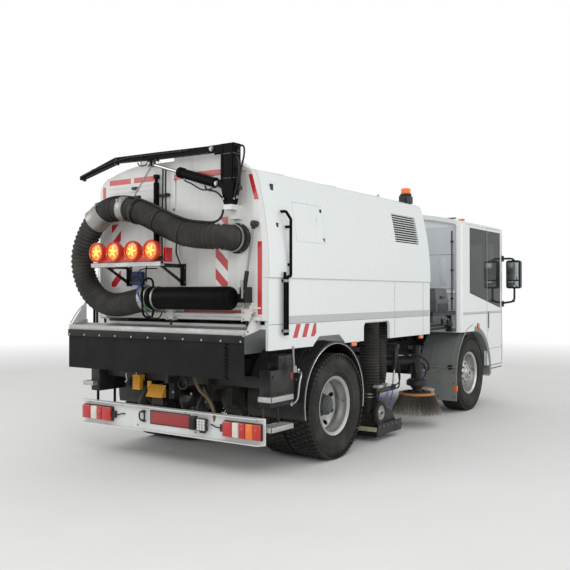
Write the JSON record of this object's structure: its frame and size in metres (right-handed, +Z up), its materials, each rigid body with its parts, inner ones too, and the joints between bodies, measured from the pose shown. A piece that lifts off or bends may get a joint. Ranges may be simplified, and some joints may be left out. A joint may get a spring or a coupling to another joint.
{
  "type": "street sweeper truck",
  "caption": "Suction street sweeper truck with a low-entry cab, tipping white hopper, rear wander hose on a boom, side brush and suction nozzle.",
  "frame": {"origin": "on the ground under the middle of the truck's overall box", "axes": "+X forward along the truck, +Y to the driver's left, +Z up"},
  "size_m": [6.972, 3.06, 3.04],
  "materials": {
    "chassis_frame": "satin",
    "cross_members": "satin",
    "front_axle": "rough",
    "rear_axle": "rough",
    "engine_block": "rough",
    "fuel_tank": "satin",
    "cab_shell": "gloss",
    "windscreen": "clear",
    "quarter_glass": "clear",
    "cab_seats": "woven",
    "dashboard": "grained",
    "front_bumper": "gloss",
    "headlamps": "clear",
    "mirrors": "grained",
    "wheel_housings": "grained",
    "walkway": "satin",
    "equipment_box": "grained",
    "rear_fenders": "grained",
    "side_steps": "satin",
    "underrun_beam": "gloss",
    "tail_lamps": "gloss",
    "number_plate": "gloss",
    "wheel_chocks": "smooth",
    "suction_nozzle": "satin",
    "suction_hose": "ribbed",
    "nozzle_wheel": "matte",
    "roller_brush": "bristle",
    "roller_frame": "satin",
    "side_brush": "bristle",
    "brush_arm": "satin",
    "arm_bracket": "satin",
    "knuckle_left": "rough",
    "knuckle_right": "rough",
    "front_tyre_left": "matte",
    "front_tyre_right": "matte",
    "front_rim_left": "satin",
    "front_rim_right": "satin",
    "rear_tyres_left": "matte",
    "rear_tyres_right": "matte",
    "rear_rims_left": "satin",
    "rear_rims_right": "satin",
    "door_left": "gloss",
    "door_right": "gloss",
    "door_glass_left": "clear",
    "door_glass_right": "clear",
    "hopper_shell": "gloss",
    "chute": "satin",
    "rubber_flap": "matte",
    "grab_tubes": "gloss",
    "beacon": "gloss",
    "tailgate": "gloss",
    "gate_cylinder": "gloss",
    "wander_hose": "ribbed",
    "suction_tube": "gloss",
    "lamp_bar": "satin",
    "warning_lamps": "gloss",
    "mast": "satin",
    "boom": "satin",
    "ram_barrel": "satin",
    "ram_rod": "polished"
  },
  "bodies": {
    "chassis": {"chassis_frame": "chassis_frame", "cross_members": "cross_members", "front_axle": "front_axle", "rear_axle": "rear_axle", "engine_block": "engine_block", "fuel_tank": "fuel_tank", "cab_shell": "cab_shell", "windscreen": "windscreen", "quarter_glass": "quarter_glass", "cab_seats": "cab_seats", "dashboard": "dashboard", "front_bumper": "front_bumper", "headlamps": "headlamps", "mirrors": "mirrors", "wheel_housings": "wheel_housings", "walkway": "walkway", "equipment_box": "equipment_box", "rear_fenders": "rear_fenders", "side_steps": "side_steps", "underrun_beam": "underrun_beam", "tail_lamps": "tail_lamps", "number_plate": "number_plate", "wheel_chocks": "wheel_chocks", "suction_nozzle": "suction_nozzle", "suction_hose": "suction_hose", "roller_frame": "roller_frame", "arm_bracket": "arm_bracket"},
    "knuckle_left": {"knuckle_left": "knuckle_left"},
    "knuckle_right": {"knuckle_right": "knuckle_right"},
    "front_wheel_left": {"front_tyre_left": "front_tyre_left", "front_rim_left": "front_rim_left"},
    "front_wheel_right": {"front_tyre_right": "front_tyre_right", "front_rim_right": "front_rim_right"},
    "rear_wheels_left": {"rear_tyres_left": "rear_tyres_left", "rear_rims_left": "rear_rims_left"},
    "rear_wheels_right": {"rear_tyres_right": "rear_tyres_right", "rear_rims_right": "rear_rims_right"},
    "door_left": {"door_left": "door_left", "door_glass_left": "door_glass_left"},
    "door_right": {"door_right": "door_right", "door_glass_right": "door_glass_right"},
    "hopper": {"hopper_shell": "hopper_shell", "chute": "chute", "rubber_flap": "rubber_flap", "grab_tubes": "grab_tubes", "beacon": "beacon"},
    "gate": {"tailgate": "tailgate", "gate_cylinder": "gate_cylinder", "wander_hose": "wander_hose", "suction_tube": "suction_tube", "lamp_bar": "lamp_bar", "warning_lamps": "warning_lamps"},
    "mast": {"mast": "mast"},
    "boom": {"boom": "boom"},
    "ram_barrel": {"ram_barrel": "ram_barrel"},
    "ram_rod": {"ram_rod": "ram_rod"},
    "nozzle_wheel": {"nozzle_wheel": "nozzle_wheel"},
    "roller": {"roller_brush": "roller_brush"},
    "brush_arm": {"brush_arm": "brush_arm"},
    "side_brush": {"side_brush": "side_brush"}
  },
  "joints": [
    {"name": "steer_left", "type": "hinge", "parent": "chassis", "child": "knuckle_left", "pos_m": [2.066, 0.84, 0.538], "axis": [0, 0, 1], "range_deg": [-35, 35]},
    {"name": "steer_right", "type": "hinge", "parent": "chassis", "child": "knuckle_right", "pos_m": [2.066, -0.84, 0.538], "axis": [0, 0, 1], "range_deg": [-35, 35]},
    {"name": "front_wheel_left", "type": "hinge", "parent": "knuckle_left", "child": "front_wheel_left", "pos_m": [2.066, 1.035, 0.538], "axis": [0, 1, 0], "continuous": true},
    {"name": "front_wheel_right", "type": "hinge", "parent": "knuckle_right", "child": "front_wheel_right", "pos_m": [2.066, -1.035, 0.538], "axis": [0, 1, 0], "continuous": true},
    {"name": "rear_wheels_left", "type": "hinge", "parent": "chassis", "child": "rear_wheels_left", "pos_m": [-1.834, 0.9225, 0.538], "axis": [0, 1, 0], "continuous": true},
    {"name": "rear_wheels_right", "type": "hinge", "parent": "chassis", "child": "rear_wheels_right", "pos_m": [-1.834, -0.9225, 0.538], "axis": [0, 1, 0], "continuous": true},
    {"name": "door_left", "type": "hinge", "parent": "chassis", "child": "door_left", "pos_m": [3.22, 1.245, 1.6], "axis": [0, 0, -1], "range_deg": [0, 70]},
    {"name": "door_right", "type": "hinge", "parent": "chassis", "child": "door_right", "pos_m": [3.22, -1.245, 1.6], "axis": [0, 0, 1], "range_deg": [0, 70]},
    {"name": "hopper_tip", "type": "hinge", "parent": "chassis", "child": "hopper", "pos_m": [-2.884, 0, 1], "axis": [0, -1, 0], "range_deg": [0, 45]},
    {"name": "gate_open", "type": "hinge", "parent": "hopper", "child": "gate", "pos_m": [-2.994, 0, 3.01], "axis": [0, 1, 0], "range_deg": [0, 80]},
    {"name": "mast_swing", "type": "hinge", "parent": "gate", "child": "mast", "pos_m": [-3.214, -0.96, 2.5], "axis": [0, 0, 1], "range_deg": [0, 100]},
    {"name": "boom_lift", "type": "hinge", "parent": "mast", "child": "boom", "pos_m": [-3.214, -0.775, 2.99], "axis": [1, 0, 0], "range_deg": [0, 40]},
    {"name": "ram_swing", "type": "hinge", "parent": "mast", "child": "ram_barrel", "pos_m": [-3.214, -0.83, 2.672], "axis": [1, 0, 0], "range_deg": [-1, 45]},
    {"name": "ram_extend", "type": "slide", "parent": "ram_barrel", "child": "ram_rod", "axis": [0, 0.9553, 0.2957], "range_m": [-0.005, 0.2]},
    {"name": "nozzle_wheel", "type": "hinge", "parent": "chassis", "child": "nozzle_wheel", "pos_m": [-0.874, -1.24, 0.345], "axis": [0, 1, 0], "continuous": true},
    {"name": "roller_brush", "type": "hinge", "parent": "chassis", "child": "roller", "pos_m": [-1.039, 0, 0.305], "axis": [0, 1, 0], "continuous": true},
    {"name": "arm_swing", "type": "hinge", "parent": "chassis", "child": "brush_arm", "pos_m": [-0.034, -0.65, 0.82], "axis": [0, 0, -1], "range_deg": [0, 30]},
    {"name": "side_brush", "type": "hinge", "parent": "brush_arm", "child": "side_brush", "pos_m": [0.446, -1.08, 0.4], "axis": [0, 0, 1], "continuous": true}
  ],
  "couplings": [
    {"joint": "steer_right", "follows": "steer_left", "ratio": 1},
    {"joint": "ram_swing", "follows": "boom_lift", "ratio": 0.77721},
    {"joint": "ram_extend", "follows": "boom_lift", "m_per_rad": 0.23363}
  ]
}
